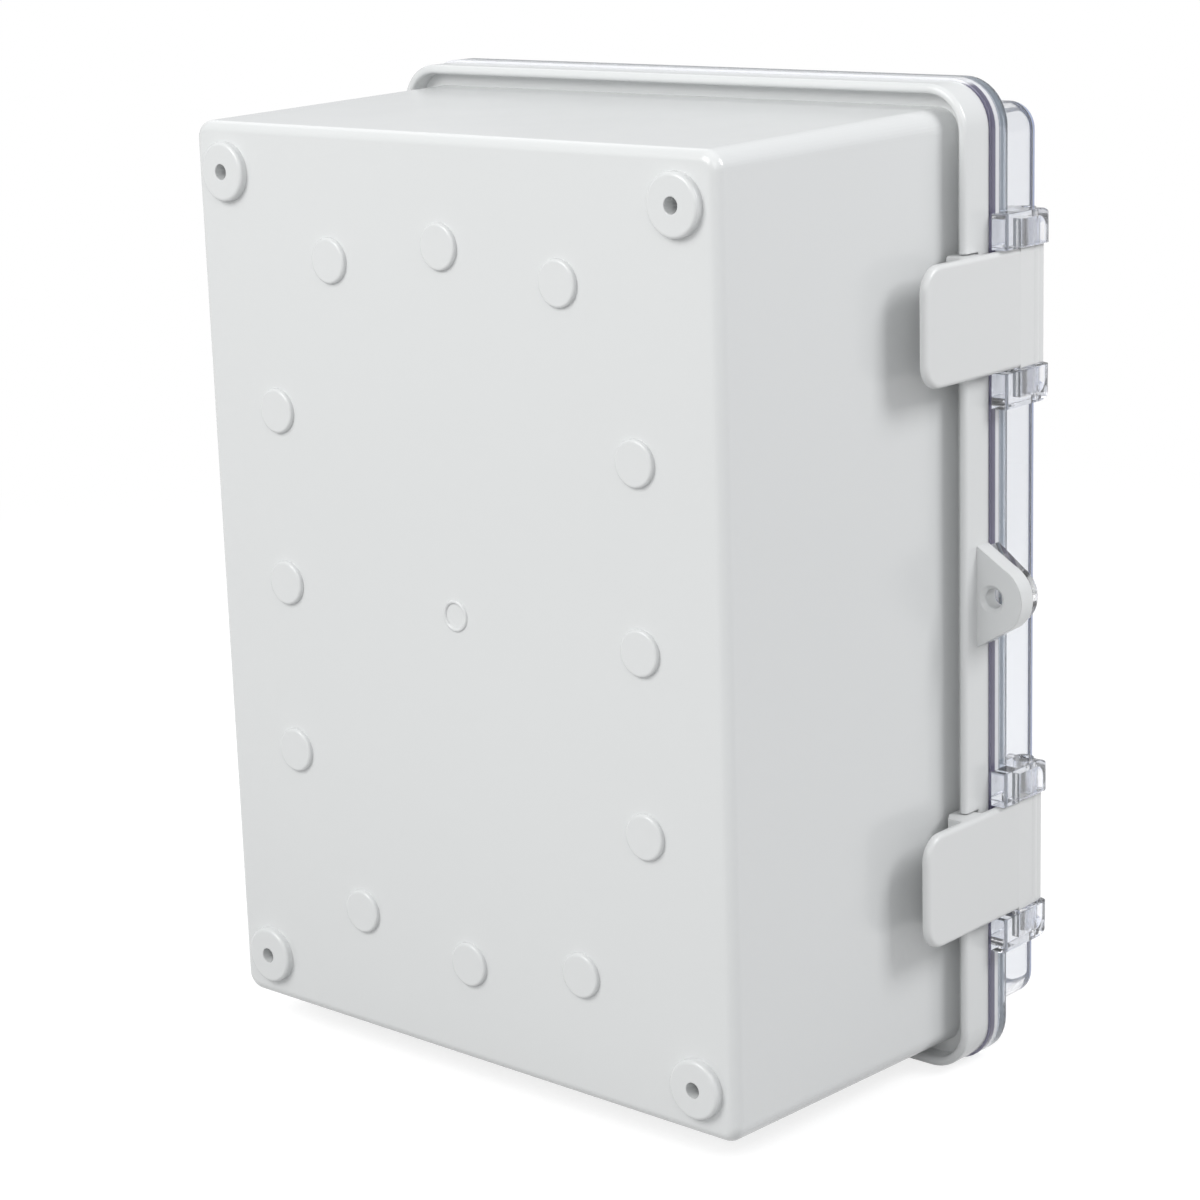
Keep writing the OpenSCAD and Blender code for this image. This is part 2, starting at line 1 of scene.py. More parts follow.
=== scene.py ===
"""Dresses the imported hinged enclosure: moulded plastic, clear polycarbonate, foam, steel, zinc and brass.

The file is laid out as a Blender add-on and run as a script. Lengths are metres in the part's own frame:
+Z up, +Y out of the back, the lid towards -Y, hinges at +X and latches at -X.
"""

import bmesh
import bpy
import numpy as np
from bpy.props import FloatProperty, FloatVectorProperty, IntProperty, PointerProperty
from mathutils import Matrix, Vector


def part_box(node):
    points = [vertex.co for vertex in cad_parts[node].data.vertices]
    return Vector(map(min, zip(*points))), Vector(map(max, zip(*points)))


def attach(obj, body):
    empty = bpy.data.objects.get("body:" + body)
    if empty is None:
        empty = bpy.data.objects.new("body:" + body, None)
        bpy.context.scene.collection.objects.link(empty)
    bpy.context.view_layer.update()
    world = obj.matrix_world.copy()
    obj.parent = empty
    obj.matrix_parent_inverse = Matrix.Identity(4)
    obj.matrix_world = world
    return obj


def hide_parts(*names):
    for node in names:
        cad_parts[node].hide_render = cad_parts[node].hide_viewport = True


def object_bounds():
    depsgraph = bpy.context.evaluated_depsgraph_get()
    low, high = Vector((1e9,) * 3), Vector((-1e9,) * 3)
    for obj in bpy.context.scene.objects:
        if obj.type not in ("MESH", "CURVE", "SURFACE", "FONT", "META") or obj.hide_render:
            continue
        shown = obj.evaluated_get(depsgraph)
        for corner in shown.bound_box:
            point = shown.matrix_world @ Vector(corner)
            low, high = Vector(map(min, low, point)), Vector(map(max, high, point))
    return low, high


bl_info = {
    "name": "Hinged enclosure dressing",
    "version": (1, 0, 0),
    "blender": (4, 5, 0),
    "location": "3D View > Sidebar > Enclosure",
    "description": "Finishes and fine pieces for a clear-lidded moulded enclosure",
    "category": "Add Mesh",
}

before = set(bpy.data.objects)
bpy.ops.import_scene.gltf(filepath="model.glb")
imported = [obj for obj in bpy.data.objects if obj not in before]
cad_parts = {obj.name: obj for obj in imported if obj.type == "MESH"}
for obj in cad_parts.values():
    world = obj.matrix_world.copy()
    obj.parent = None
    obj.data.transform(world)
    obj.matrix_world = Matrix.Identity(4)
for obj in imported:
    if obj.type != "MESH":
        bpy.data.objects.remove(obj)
cad_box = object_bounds()

# Lid: half width and half height of its rim.
RIM_SIDE = 0.1510
RIM_TOP = 0.2010

# Lid, bands of painted shade and painted sheen in its colour: where each one starts or ends, as two distances between
# which it fades. They run forwards from the lid's rearmost point, which is 1.8 mm behind the rim's parting face, and
# those of the window, below zero, run backwards from its front.
PARTING_END = (0.0042, 0.0050)
SKIRT_END = (0.0066, 0.0074)
CORNER_START = (0.0072, 0.0082)
CORNER_END = (0.0110, 0.0116)
WINDOW_START = (-0.0054, -0.0046)

# Lid, colours of the painted shade lines: of the clear body, then of the painted sheen layer.
PARTING_SHADE_COLOURS = ((0.16, 0.15, 0.23), (0.13, 0.12, 0.20))
CORNER_SHADE_COLOURS = ((0.50, 0.56, 0.65), (0.40, 0.46, 0.54))
WINDOW_SHADE_COLOURS = ((0.64, 0.70, 0.84), (0.36, 0.42, 0.62))
# Painted light: the ears are tinted lighter than the rest of the lid, for the light they let through.
EAR_PAINTED_LIGHT = (0.99, 0.99, 1.0)

# Gasket: width of the bead and radius of its outer corners.
SEAL_WIDTH = 0.0064
SEAL_CORNER = 0.0158

# Hinge leaf screws: shank radius, height of the head and distance between the two of a leaf.
LEAF_SHANK_R = 0.0017
LEAF_HEAD_H = 0.0021
LEAF_SPREAD = 0.030

# Mounting plate screws: shank radius, and radius and height of the head.
PLATE_SHANK_R = 0.00244
PLATE_HEAD_R = 0.00475
PLATE_HEAD_H = 0.003

# Inserts: outer radius, inner and outer radius of the front face, radius at the far end, and least radius and
# depth of the thread.
INSERT_R = 0.0035
INSERT_FACE_R = (0.0025, 0.0029)
INSERT_TIP_R = 0.0033
INSERT_THREAD_R = 0.0025
INSERT_THREAD_H = 0.00025

# Lamps: name, place, target, power in watts, edge length and colour.
SOFTBOXES = (
    ("key_softbox", (0.30, 1.15, 0.90), (-0.05, 0.0, 0.02), 12.6, 0.8, (1.0, 1.0, 0.985)),
    ("side_softbox", (-1.15, -0.55, 0.95), (0, -0.1, 0.05), 10.0, 0.6, (0.995, 0.995, 1.0)),
    ("corner_softbox", (-0.95, 1.0, 0.75), (-0.1, -0.1, 0.0), 3.6, 0.8, (1.0, 1.0, 1.0)),
    ("front_softbox", (1.5, -0.9, 1.2), (0, -0.15, 0), 3.0, 1.2, (1.0, 1.0, 1.0)),
)

# Camera: place, its right, up and backward directions, and focal length over a 36 mm sensor.
VIEW_PLACE = (-0.82059, 0.82182, 0.29828)
VIEW_AXES = (
    (-0.74755, -0.66350, -0.03066),
    (0.14047, -0.20304, 0.96904),
    (-0.64918, 0.72010, 0.24499),
)
VIEW_LENS = 91.741


# Surfaces -----------------------------------------------------------------------------------------


def surface(name, grid, closed_u=False, closed_v=False):
    """Mesh object from a grid of points with shape (u, v, 3); a closed direction joins its last row to its first."""
    rows, columns = grid.shape[:2]
    u = np.arange(rows if closed_u else rows - 1)
    v = np.arange(columns if closed_v else columns - 1)
    here_u, here_v = np.meshgrid(u, v, indexing="ij")
    next_u, next_v = (here_u + 1) % rows, (here_v + 1) % columns
    corners = [(here_u, here_v), (next_u, here_v), (next_u, next_v), (here_u, next_v)]
    quads = np.stack([row * columns + column for row, column in corners], -1).reshape(-1, 4)
    return quad_mesh(name, grid.reshape(-1, 3), quads)


def quad_mesh(name, points, quads):
    """Mesh object, shaded smooth, from arrays of points and of four-cornered faces."""
    mesh = bpy.data.meshes.new(name)
    mesh.vertices.add(len(points))
    mesh.vertices.foreach_set("co", np.ascontiguousarray(points, np.float32).ravel())
    mesh.loops.add(quads.size)
    mesh.loops.foreach_set("vertex_index", np.ascontiguousarray(quads, np.int32).ravel())
    mesh.polygons.add(len(quads))
    mesh.polygons.foreach_set("loop_start", np.arange(0, quads.size, 4, dtype=np.int32))
    mesh.polygons.foreach_set("use_smooth", np.ones(len(quads), bool))
    mesh.update(calc_edges=True)
    mesh.validate()
    piece = bpy.data.objects.new(name, mesh)
    bpy.context.scene.collection.objects.link(piece)
    return piece


def tidy_shell(piece, weld=1e-6, sharp=0.6):
    """Merges doubled points, drops flat faces, turns the faces outwards and keeps creases over the angle sharp."""
    work = bmesh.new()
    work.from_mesh(piece.data)
    bmesh.ops.remove_doubles(work, verts=work.verts, dist=weld)
    bmesh.ops.dissolve_degenerate(work, edges=work.edges, dist=weld)
    bmesh.ops.recalc_face_normals(work, faces=work.faces)
    for edge in work.edges:
        edge.smooth = len(edge.link_faces) == 2 and edge.calc_face_angle(0) < sharp
    work.to_mesh(piece.data)
    work.free()
    return piece


def joined(name, pieces):
    """One mesh object from several, which are removed."""
    points, quads, start = [], [], 0
    for piece in pieces:
        mesh = piece.data
        co = np.empty(len(mesh.vertices) * 3, np.float32)
        mesh.vertices.foreach_get("co", co)
        corner = np.empty(len(mesh.loops), np.int32)
        mesh.loops.foreach_get("vertex_index", corner)
        points.append(co.reshape(-1, 3))
        quads.append(corner.reshape(-1, 4) + start)
        start += len(mesh.vertices)
        bpy.data.objects.remove(piece)
    return quad_mesh(name, np.concatenate(points), np.concatenate(quads))


def turned(radius, height, steps, wobble=None):
    """Surface of revolution about Z: each profile point (radius, height) goes round a full circle.

    wobble, if given, is a function of (radius, height, angle) that returns the change of radius.
    """
    angle = np.linspace(0, 2 * np.pi, steps, endpoint=False)
    r = np.asarray(radius, float)[:, None] * np.ones(steps)
    z = np.asarray(height, float)[:, None] * np.ones(steps)
    if wobble is not None:
        r = r + wobble(r, z, angle[None, :])
    return np.stack([r * np.cos(angle), r * np.sin(angle), z], -1)


def placed(grid, origin, axis):
    """Turns a grid that was drawn about +Z so that +Z lies along axis, then moves it to origin."""
    turn = np.array(Vector((0, 0, 1)).rotation_difference(Vector(axis)).to_matrix())
    return grid @ turn.T + np.asarray(origin, float)


def round_frame(half_x, half_z, radius, along, around):
    """Closed path round a rectangle with round corners, in the plane of X and Z, as points and outward normals.

    Each corner is a quarter circle of around points about its centre, and along points, evenly spaced,
    lie on the straight from it to the next.
    """
    centres = np.array([(1, 1), (-1, 1), (-1, -1), (1, -1)]) * (half_x - radius, half_z - radius)
    share = np.linspace(0, 1, along + 2)[1:-1, None]
    points, normals = [], []
    for k, centre in enumerate(centres):
        angle = k * np.pi / 2 + np.linspace(0, np.pi / 2, around)
        out = np.stack([np.cos(angle), np.sin(angle)], -1)
        start, stop = centre + radius * out[-1], centres[(k + 1) % 4] + radius * out[-1]
        points += [centre + radius * out, start * (1 - share) + stop * share]
        normals += [out, np.repeat(out[-1:], along, 0)]
    return np.concatenate(points), np.concatenate(normals)


def frame_y(node, end):
    """Depth of a CAD node's box at its low or high end."""
    low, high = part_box(node)
    return low.y if end == "low" else high.y


# Finishes -----------------------------------------------------------------------------------------


class Varying:
    """A number that varies over a surface. Arithmetic on it adds the Math nodes."""

    def __init__(self, graph, socket):
        self.graph, self.socket = graph, socket

    def _maths(self, operation, *terms):
        return self.graph.node("ShaderNodeMath", {"operation": operation}, dict(enumerate(terms)))

    def __add__(self, other):
        return self._maths("ADD", self, other)

    __radd__ = __add__

    def __sub__(self, other):
        return self._maths("SUBTRACT", self, other)

    def __rsub__(self, other):
        return self._maths("SUBTRACT", other, self)

    def __mul__(self, other):
        return self._maths("MULTIPLY", self, other)

    __rmul__ = __mul__

    def __abs__(self):
        return self._maths("ABSOLUTE", self)

    def larger(self, other):
        """The larger of the two."""
        return self._maths("MAXIMUM", self, other)

    def within(self, low, high):
        """Smooth step from 0 at low to 1 at high."""
        sockets = {"Value": self, "From Min": low, "From Max": high}
        return self.graph.node("ShaderNodeMapRange", {"interpolation_type": "SMOOTHSTEP"}, sockets)


class Graph:
    """A node tree that is built from expressions."""

    def __init__(self, tree):
        self.tree = tree
        tree.nodes.clear()

    def node(self, kind, settings=None, sockets=None, output=0):
        """One output of a new node, after its settings and the values or links of its sockets are set."""
        made = self.tree.nodes.new(kind)
        for field, value in (settings or {}).items():
            setattr(made, field, value)
        for key, value in (sockets or {}).items():
            if isinstance(value, Varying):
                self.tree.links.new(value.socket, made.inputs[key])
            else:
                made.inputs[key].default_value = value
        return Varying(self, made.outputs[output]) if made.outputs else None

    def backdrop_rays(self, mirror_share):
        """1 for rays from the camera or through glass, mirror_share for mirrored rays and 0 for the rest."""
        seen = self.node("ShaderNodeLightPath", output="Is Camera Ray")
        through = self.node("ShaderNodeLightPath", output="Is Transmission Ray")
        mirrored = self.node("ShaderNodeLightPath", output="Is Glossy Ray")
        return self.node(
            "ShaderNodeMath", {"operation": "ADD", "use_clamp": True}, {0: seen + through, 1: mirrored * mirror_share}
        )


class Finish(Graph):
    """One material, built from nodes on the object's own coordinates."""

    def __init__(self, name):
        self.material = bpy.data.materials.new(name)
        self.material.use_nodes = True
        super().__init__(self.material.node_tree)
        self.place = self.node("ShaderNodeTexCoord", output="Object")

    def along(self, axis, where=None):
        """Component of the object coordinates, or of another vector, along an axis."""
        return self.node("ShaderNodeSeparateXYZ", None, {"Vector": where or self.place}, axis)

    def noise(self, scale, detail=2.0, roughness=0.5, stretch=(1, 1, 1)):
        """Noise between 0 and 1, drawn out along the axis whose stretch is small."""
        where = self.place
        if tuple(stretch) != (1, 1, 1):
            where = self.node("ShaderNodeMapping", None, {"Vector": self.place, "Scale": stretch})
        return self.node(
            "ShaderNodeTexNoise", None, {"Vector": where, "Scale": scale, "Detail": detail, "Roughness": roughness}
        )

    def tint(self, amount, low, high):
        """Colour that goes from low to high as amount goes from 0 to 1."""
        return self.node(
            "ShaderNodeMix", {"data_type": "RGBA"}, {0: amount, 6: (*low[:3], 1), 7: (*high[:3], 1)}, output=2
        )

    def mixed(self, amount, under, over):
        """Colour that goes from under to over as amount goes from 0 to 1; over is a fixed colour."""
        return self.node("ShaderNodeMix", {"data_type": "RGBA"}, {0: amount, 6: under, 7: (*over[:3], 1)}, output=2)

    def relief(self, height, depth, strength=1.0, under=None):
        """Bump normal for a height between 0 and 1 that stands depth metres proud."""
        sockets = {"Height": height, "Distance": depth, "Strength": strength}
        if under is not None:
            sockets["Normal"] = under
        return self.node("ShaderNodeBump", None, sockets)

    def soft_edges(self, radius):
        """Normal that rounds every edge of the mesh by radius."""
        return self.node("ShaderNodeBevel", {"samples": 6}, {"Radius": radius})

    def coat(self, **sockets):
        """Principled shader from sockets named with underscores."""
        named = {key.replace("_", " "): value for key, value in sockets.items()}
        return self.node("ShaderNodeBsdfPrincipled", None, named, output="BSDF")

    def finished(self, shader):
        """The material, once the shader is linked to its output."""
        self.node("ShaderNodeOutputMaterial", None, {"Surface": shader})
        return self.material


def moulded_plastic(name, colour, gloss_low, gloss_high, edge):
    """Glossy moulded polycarbonate: faint flow clouding, orange peel and softly rounded mould edges."""
    finish = Finish(name)
    clouds = finish.noise(9.0)
    handling = finish.noise(21.0, detail=3.0)
    peel = finish.noise(620.0, detail=1.0, roughness=0.4)
    colour = np.array(colour[:3])
    tone = finish.tint(clouds, colour * 0.99, np.minimum(colour * 1.008, 1))
    rough = handling * (gloss_high - gloss_low) + gloss_low
    normal = finish.relief(peel, depth=0.000008, strength=0.25, under=finish.soft_edges(edge))
    return finish.finished(finish.coat(Base_Color=tone, Roughness=rough, Normal=normal, IOR=1.58))


def clear_plastic(name, tint, edge_shade, painted_sheen, rough, edge_width):
    """Clear polished polycarbonate. Its body is faintly blue, and painted shade makes its edges and slanted fillets
    darker and more violet, in place of the light carried along inside the wall.

    Up each side, the rim's skirt has a painted dark shade line beside the parting face, and all round it has a painted
    grey-blue shade line at its front corner. The skirt is overlaid with a painted pale sheen, and the window's front
    edge with a painted blue shade. The ears outside the rim get a lighter painted tint than the rest, for the light
    they let through.
    """
    finish = Finish(name)
    waves = finish.noise(14.0)
    wipes = finish.noise(70.0, detail=4.0, roughness=0.7).within(0.5, 0.8)
    tint, edge_shade = np.array(tint[:3]), np.array(edge_shade[:3])

    # Painted shade at the edges and slanted fillets.
    flat = finish.node("ShaderNodeNewGeometry", output="True Normal")
    bent = finish.soft_edges(edge_width)
    near_edge = 1 - abs(
        finish.node("ShaderNodeVectorMath", {"operation": "DOT_PRODUCT"}, {0: bent, 1: flat}, "Value")
    )
    facing = finish.along("Y", finish.node("ShaderNodeTexCoord", output="Normal"))
    depth_share = facing * facing
    slanted = depth_share * (1 - depth_share) * 4
    painted_edge_shade = near_edge.within(0.01, 0.22).larger(slanted.within(0.15, 0.7))

    # Painted bands of shade and sheen on the rim and the window, from the distance in front of the wall.
    back, front = -frame_y("lid", "high"), -frame_y("lid", "low")
    ahead = finish.along("Y") * -1

    def past(start, fade):
        """0 before the first distance of the fade and 1 beyond its second, both counted from start."""
        return ahead.within(start + fade[0], start + fade[1])

    on_rim = 1 - abs(finish.along("X")).within(RIM_SIDE + 0.0001, RIM_SIDE + 0.0003)
    on_side = 1 - abs(finish.along("Z")).within(RIM_TOP - 0.0030, RIM_TOP - 0.0012)
    skirt = (1 - past(back, SKIRT_END)) * on_rim
    # Painted shade: a dark violet line up each side beside the parting face.
    painted_parting_shade = (1 - past(back, PARTING_END)) * on_rim * on_side
    # Painted shade: a grey-blue line all round at the rim's front corner.
    painted_corner_shade = past(back, CORNER_START) * (1 - past(back, CORNER_END)) * on_rim
    # Painted shade: a blue line along the window's front edge.
    painted_window_shade = past(front, WINDOW_START) * (1 - depth_share.within(0.9, 0.98))

    body = finish.tint(waves, tint * 0.99, np.minimum(tint * 1.01, 1))
    # Painted light: the ears outside the rim get a lighter tint.
    body = finish.mixed(1 - on_rim, body, EAR_PAINTED_LIGHT)
    body = finish.mixed(painted_corner_shade, body, CORNER_SHADE_COLOURS[0])
    # Painted shade: darker, more violet colour at the edges and slanted fillets.
    body = finish.mixed(painted_edge_shade * 0.8, body, edge_shade)
    body = finish.mixed(painted_window_shade, body, WINDOW_SHADE_COLOURS[0])
    # Painted shade: the dark violet line beside the parting face.
    body = finish.mixed(painted_parting_shade, body, PARTING_SHADE_COLOURS[0])
    # Colour of the painted sheen layer, with the painted shade lines laid on it.
    glow = finish.tint(painted_window_shade, painted_sheen, WINDOW_SHADE_COLOURS[1])
    glow = finish.mixed(painted_corner_shade, glow, CORNER_SHADE_COLOURS[1])
    glow = finish.mixed(painted_parting_shade, glow, PARTING_SHADE_COLOURS[1])

    normal = finish.relief(waves, depth=0.0006, strength=0.2, under=finish.soft_edges(0.0006))
    gloss = wipes * 0.04 + rough
    clear = finish.coat(Base_Color=body, Roughness=gloss, Normal=normal, IOR=1.585, Transmission_Weight=0.97)
    painted_sheen_coat = finish.coat(Base_Color=glow, Roughness=0.12, Normal=normal, IOR=1.585)
    # How much of the painted sheen covers the skirt and the painted shade lines.
    share = (skirt * 0.7).larger(painted_window_shade * 0.9).larger(painted_corner_shade * 0.35)
    return finish.finished(finish.node("ShaderNodeMixShader", None, {0: share, 1: clear, 2: painted_sheen_coat}))


def seal_foam(name, colour):
    """Closed-cell foam: small cells, with painted shade darkening their hollows."""
    finish = Finish(name)
    cells = finish.node("ShaderNodeTexVoronoi", None, {"Vector": finish.place, "Scale": 1500.0}, output="Distance")
    mottle = finish.noise(120.0, detail=3.0)
    colour = np.array(colour[:3])
    # Partly random mottle and partly painted shade: the tone is darkest at the cell centres, which the bump sinks into
    # hollows.
    tone = finish.tint(cells * 0.7 + mottle * 0.4, colour * 0.6, colour * 1.35)
    normal = finish.relief(cells, depth=0.0002, strength=0.8)
    return finish.finished(finish.coat(Base_Color=tone, Roughness=0.82 + mottle * 0.1, Normal=normal, IOR=1.45))


def ground_steel(name, colour, rough, stretch, scale):
    """Steel with grinding marks that run along the axis with the smallest stretch."""
    finish = Finish(name)
    marks = finish.noise(scale, detail=5.0, roughness=0.7, stretch=stretch)
    stains = finish.noise(60.0, detail=3.0)
    colour = np.array(colour[:3])
    tone = finish.tint(marks * 0.6 + stains * 0.4, colour * 0.82, np.minimum(colour * 1.12, 1))
    normal = finish.relief(marks, depth=0.00003, strength=0.6, under=finish.soft_edges(0.00015))
    return finish.finished(finish.coat(Base_Color=tone, Roughness=rough + marks * 0.18, Normal=normal, Metallic=1.0))


def galvanised_sheet(name, colour):
    """Zinc spangle: crystals that differ in tone and gloss, with fine grey grain."""
    finish = Finish(name)
    spangle = finish.node("ShaderNodeTexVoronoi", None, {"Vector": finish.place, "Scale": 95.0}, output="Color")
    crystal = finish.node("ShaderNodeSeparateColor", None, {"Color": spangle}, output="Red")
    grain = finish.noise(900.0, detail=3.0)
    colour = np.array(colour[:3])
    tone = finish.tint(crystal * 0.7 + grain * 0.3, colour * 0.8, np.minimum(colour * 1.15, 1))
    normal = finish.relief(grain, depth=0.00002, strength=0.5, under=finish.soft_edges(0.0003))
    return finish.finished(
        finish.coat(Base_Color=tone, Roughness=0.34 + crystal * 0.16, Normal=normal, Metallic=1.0)
    )


def paper_floor(name, colour, lift, clear_radius, fade_radius):
    """Seamless pale paper, lifted by a faint glow of its own that leaves only the object's soft shadow
    below white, and run out into plain white far away.
    """
    finish = Finish(name)
    fibres = finish.noise(40.0, detail=4.0)
    colour = np.array(colour[:3])
    tone = finish.tint(fibres, colour * 0.995, np.minimum(colour * 1.004, 1))
    shown = finish.backdrop_rays(1.0)
    paper = finish.coat(
        Base_Color=tone, Roughness=0.85, Specular_IOR_Level=0.1,
        Emission_Color=finish.tint(shown, (0, 0, 0), (lift, lift, lift)), Emission_Strength=1.0,
    )
    white = finish.node("ShaderNodeEmission", None, {"Color": (1, 1, 1, 1), "Strength": 1.0})
    reach = finish.node("ShaderNodeVectorMath", {"operation": "LENGTH"}, {0: finish.place}, output="Value")
    far = reach.within(clear_radius, fade_radius) * shown
    return finish.finished(finish.node("ShaderNodeMixShader", None, {0: far, 1: paper, 2: white}))


def wear(names, material):
    """Gives CAD nodes one finish."""
    for name in names:
        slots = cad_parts[name].data.materials
        slots.clear()
        slots.append(material)


def smooth_copy(name, node, crease):
    """Copy of a CAD node with its facets merged and shaded smooth; edges turned by more than crease stay sharp.

    Each shading normal is the mean of the faces round its point, weighted by their areas, so the
    flats stay flat up to their fillets.
    """
    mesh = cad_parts[node].data.copy()
    mesh.materials.clear()
    piece = bpy.data.objects.new(name, mesh)
    bpy.context.scene.collection.objects.link(piece)
    mesh.polygons.foreach_set("use_smooth", np.ones(len(mesh.polygons), bool))
    tidy_shell(piece, sharp=crease)
    weights = piece.modifiers.new("area weights", "WEIGHTED_NORMAL")
    weights.keep_sharp = True
    return piece


def fit_piece(piece, body, slot, material, *stands_for):
    """Puts a finish on a new piece, ties it to its body and hides the CAD nodes that it stands for. slot is not used.
    """
    piece.data.materials.append(material)
    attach(piece, body)
    if stands_for:
        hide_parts(*stands_for)


# Values a user would change -----------------------------------------------------------------------


class EnclosureFinishes(bpy.types.PropertyGroup):
    """Colours of the mouldings, the seal and the metal parts"""

    base_grey: FloatVectorProperty(
        name="Base grey", description="Colour of the base moulding", subtype="COLOR", size=3, min=0, max=1,
        default=(0.730, 0.740, 0.742),
    )
    latch_grey: FloatVectorProperty(
        name="Latch grey", description="Colour of the latches and hinge leaves", subtype="COLOR", size=3, min=0, max=1,
        default=(0.735, 0.742, 0.742),
    )
    lid_tint: FloatVectorProperty(
        name="Lid tint", description="Body colour of the clear lid", subtype="COLOR", size=3, min=0, max=1,
        default=(0.935, 0.945, 0.968),
    )
    # Painted shade: the darker, more violet colour laid on the lid's edges.
    lid_edge_shade: FloatVectorProperty(
        name="Lid edge tint", description="Colour of the clear lid's edges", subtype="COLOR", size=3, min=0, max=1,
        default=(0.75, 0.79, 0.90),
    )
    # Painted sheen: a pale glossy layer over the lid's skirt that stands in for the light its wall carries.
    lid_painted_sheen: FloatVectorProperty(
        name="Lid haze", description="Colour of the light that the lid's skirt scatters", subtype="COLOR",
        size=3, min=0, max=1, default=(0.95, 0.955, 0.985),
    )
    seal_grey: FloatVectorProperty(
        name="Seal grey", description="Colour of the foam gasket", subtype="COLOR", size=3, min=0, max=1,
        default=(0.36, 0.36, 0.42),
    )
    plate_zinc: FloatVectorProperty(
        name="Plate zinc", description="Colour of the galvanised mounting plate", subtype="COLOR", size=3,
        min=0, max=1, default=(0.60, 0.62, 0.64),
    )
    brass: FloatVectorProperty(
        name="Brass", description="Colour of the boss inserts", subtype="COLOR", size=3, min=0, max=1,
        default=(0.78, 0.60, 0.30),
    )


class EnclosureSizes(bpy.types.PropertyGroup):
    """Sizes of the fine pieces"""

    edge_round: FloatProperty(
        name="Mould edge", description="Radius that softens the moulded edges", subtype="DISTANCE", unit="LENGTH",
        default=0.0007, min=0, max=0.003,
    )
    pin_chamfer: FloatProperty(
        name="Pin chamfer", description="Chamfer at the ends of a pin", subtype="DISTANCE", unit="LENGTH",
        default=0.0005, min=0.0001, max=0.001,
    )
    knurl_depth: FloatProperty(
        name="Knurl depth", description="Depth of the knurling on a brass insert", subtype="DISTANCE", unit="LENGTH",
        default=0.00018, min=0, max=0.0004,
    )
    thread_pitch: FloatProperty(
        name="Thread pitch", description="Pitch of the screw threads", subtype="DISTANCE", unit="LENGTH",
        default=0.0008, min=0.0004, max=0.0016,
    )
    pin_steps: IntProperty(name="Pin facets", description="Points round a pin", default=48, min=12, max=128)


# Pieces -------------------------------------------------------------------------------------------


class ENCLOSURE_OT_mouldings(bpy.types.Operator):
    """Finish the base, latches and hinge leaves in glossy moulded grey"""

    bl_idname = "enclosure.mouldings"
    bl_label = "Grey mouldings"

    def execute(self, context):
        colours, sizes = context.scene.enclosure_finishes, context.scene.enclosure_sizes
        shell = moulded_plastic(
            "base_plastic", colours.base_grey, gloss_low=0.20, gloss_high=0.25, edge=sizes.edge_round
        )
        wear(["base"], shell)
        levers = moulded_plastic(
            "latch_plastic", colours.latch_grey, gloss_low=0.29, gloss_high=0.34, edge=sizes.edge_round
        )
        wear(["latch_upper", "latch_lower", "hinge_leaf_upper", "hinge_leaf_lower"], levers)
        return {"FINISHED"}


class ENCLOSURE_OT_lid(bpy.types.Operator):
    """Finish the lid in clear polycarbonate"""

    bl_idname = "enclosure.lid"
    bl_label = "Clear lid"

    def execute(self, context):
        colours = context.scene.enclosure_finishes
        polished = clear_plastic(
            "lid_plastic", colours.lid_tint, colours.lid_edge_shade, colours.lid_painted_sheen, rough=0.015, edge_width=0.0022
        )
        lid = smooth_copy("polished_lid", "lid", crease=0.45)
        fit_piece(lid, "lid_body", "lid_plastic", polished, "lid")
        return {"FINISHED"}


def foam_bead(name, low, high, width, corner):
    """Closed bead that runs round the box from low to high, with outer corners of radius corner.

    Its section is a rounded oblong: across, the power 0.35 of the cosine times half the width, and
    deep, the power 0.5 of the sine times half the depth, each with its own sign.
    """
    path, out = round_frame(high.x - width / 2, high.z - width / 2, corner - width / 2, along=60, around=16)
    angle = np.linspace(0, 2 * np.pi, 24, endpoint=False)
    cosine, sine = np.cos(angle), np.sin(angle)
    across = np.sign(cosine) * np.abs(cosine) ** 0.35 * width / 2
    deep = np.sign(sine) * np.abs(sine) ** 0.5 * (high.y - low.y) / 2
    ring = path[:, None, :] + out[:, None, :] * across[None, :, None]
    y = np.repeat(((low.y + high.y) / 2 + deep)[None], len(path), 0)
    grid = np.stack([ring[..., 0], y, ring[..., 1]], -1)
    return tidy_shell(surface(name, grid, True, True))


class ENCLOSURE_OT_seal(bpy.types.Operator):
    """Lay the foam gasket in the groove of the lid's rim"""

    bl_idname = "enclosure.seal"
    bl_label = "Foam gasket"

    def execute(self, context):
        bead = foam_bead("foam_gasket", *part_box("lid_gasket"), SEAL_WIDTH, SEAL_CORNER)
        colour = context.scene.enclosure_finishes.seal_grey
        fit_piece(bead, "lid_body", "seal_foam", seal_foam("seal_foam", colour), "lid_gasket")
        return {"FINISHED"}


def chamfered_pin(name, node, chamfer, steps):
    """Straight pin along Z that fills the box of its CAD node, with a cone at each end."""
    low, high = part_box(node)
    r, half = (high.x - low.x) / 2, (high.z - low.z) / 2
    radius = [0, r - chamfer, r, r, r, r, r - chamfer, 0]
    height = [-half, -half, -half + chamfer, -half / 3, half / 3, half - chamfer, half, half]
    grid = turned(radius, height, steps) + np.array((low + high) / 2)
    return tidy_shell(surface(name, grid, False, True), sharp=0.5)


class ENCLOSURE_OT_pins(bpy.types.Operator):
    """Make the latch and hinge pins with chamfered ends"""

    bl_idname = "enclosure.pins"
    bl_label = "Pins"

    def execute(self, context):
        sizes = context.scene.enclosure_sizes
        steel = ground_steel("pin_steel", (0.62, 0.63, 0.65), rough=0.18, stretch=(1, 1, 0.05), scale=700.0)
        for node in ("latch_pin_upper", "latch_pin_lower", "hinge_pin_upper", "hinge_pin_lower"):
            pin = chamfered_pin(node.replace("_pin", "_ground_pin"), node, sizes.pin_chamfer, sizes.pin_steps)
            fit_piece(pin, "lid_body", "pin_steel", steel, node)
        return {"FINISHED"}


